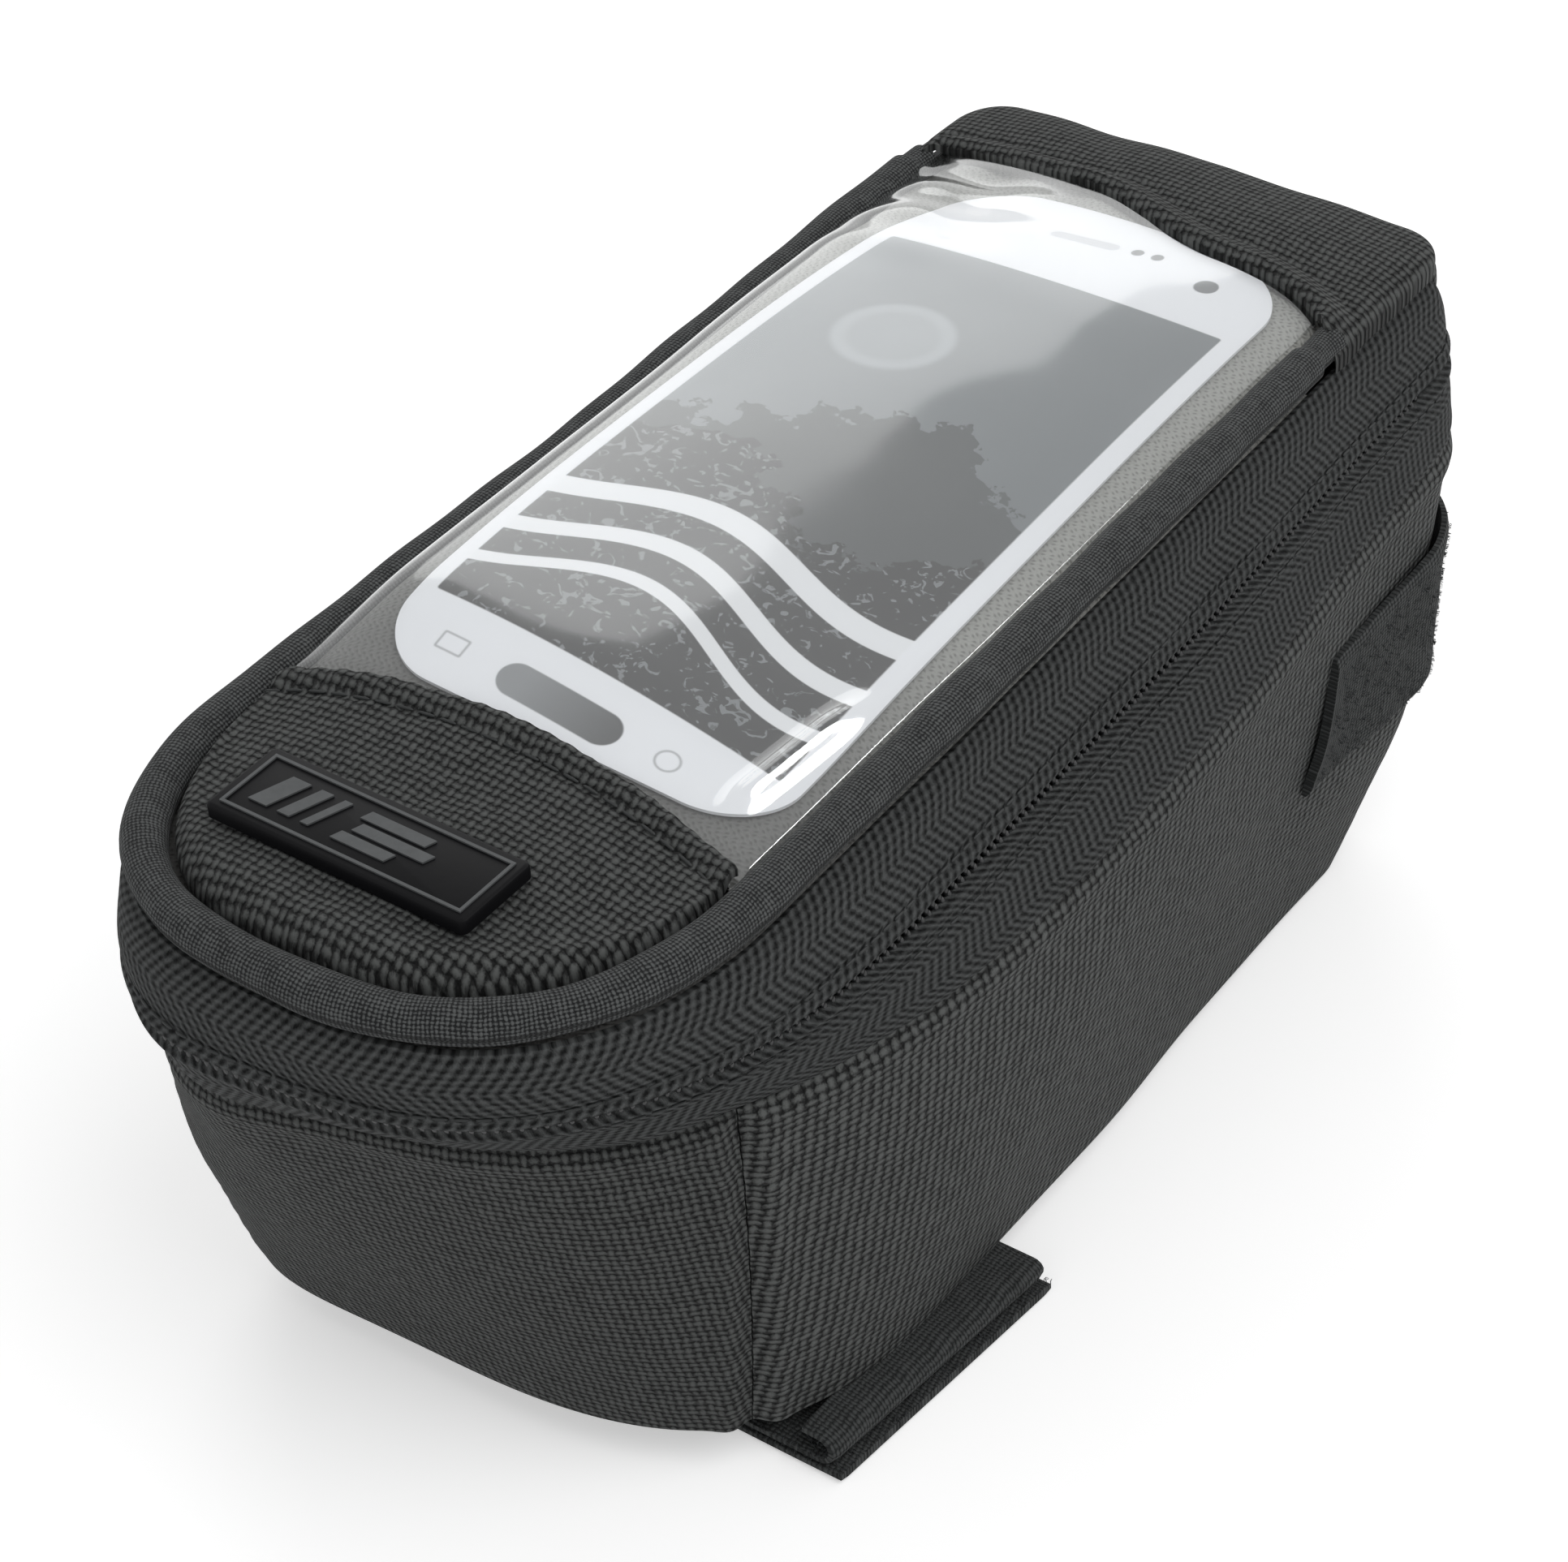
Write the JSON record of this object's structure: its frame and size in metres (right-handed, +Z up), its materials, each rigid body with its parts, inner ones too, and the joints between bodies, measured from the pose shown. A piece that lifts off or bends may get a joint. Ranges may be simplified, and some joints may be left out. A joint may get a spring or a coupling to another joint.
{
  "type": "top tube phone bag",
  "caption": "Soft zipped bicycle frame bag with a rounded near end, a domed clear phone window in its hinged lid, and hook and loop straps beneath and at the far end.",
  "frame": {"origin": "middle of the bag's overall box, on the floor plane under the straps", "axes": "+Y along the bag from its rounded near end to its square hinge end, +Z up, +X to the right seen from the near end"},
  "size_m": [0.0976, 0.199, 0.0984],
  "materials": {
    "side_fabric": "coarse plain-weave polyester, near black, matte",
    "foam": "closed-cell foam sheet, dark grey",
    "lining": "smooth light grey lining cloth",
    "board": "stiff dark plastic sheet",
    "zip_tape": "woven zip tape with herringbone rib",
    "zip_coil": "black nylon coil",
    "piping": "smooth woven binding rolled over a cord",
    "film": "clear flexible vinyl film, glossy",
    "card": "white printed card, satin",
    "badge": "moulded black rubber with a grey raised border",
    "slider": "black painted zinc",
    "pull": "dark moulded pull",
    "strap": "hook and loop tape, near black, fuzzy"
  },
  "bodies": {
    "bag": {"near_wall_panel": "side_fabric", "right_side_panel": "side_fabric", "left_side_panel": "side_fabric", "far_wall_panel": "side_fabric", "near_wall_foam": "foam", "right_side_foam": "foam", "left_side_foam": "foam", "far_wall_foam": "foam", "body_lining": "lining", "bottom_panel": "side_fabric", "base_board": "board", "lower_zip_tape": "zip_tape", "zip_end_stop": "side_fabric", "lower_zip_coil": "zip_coil", "near_strap_left": "strap", "near_strap_right": "strap", "far_strap_right": "strap", "far_strap_left": "strap"},
    "lid": {"upper_zip_tape": "zip_tape", "upper_zip_coil": "zip_coil", "lid_piping": "piping", "near_cover_panel": "side_fabric", "window_film": "film", "phone_card": "card", "pocket_backing": "lining", "far_cover_panel": "side_fabric", "rubber_badge": "badge"},
    "slider": {"slider_body": "slider"},
    "pull": {"pull_tab": "pull"}
  },
  "joints": [
    {"name": "lid_hinge", "type": "hinge", "parent": "bag", "child": "lid", "pos_m": [0, 0.097, 0.088], "axis": [-1, 0, 0], "range_deg": [0, 100]},
    {"name": "slider_travel", "type": "slide", "parent": "bag", "child": "slider", "axis": [-0.015, -0.9999, 0], "range_m": [0, 0.06]},
    {"name": "pull_swing", "type": "hinge", "parent": "slider", "child": "pull", "pos_m": [-0.04446, 0.07279, 0.07834], "axis": [0.3724, -0.0056, 0.9281], "range_deg": [0, 170]}
  ]
}
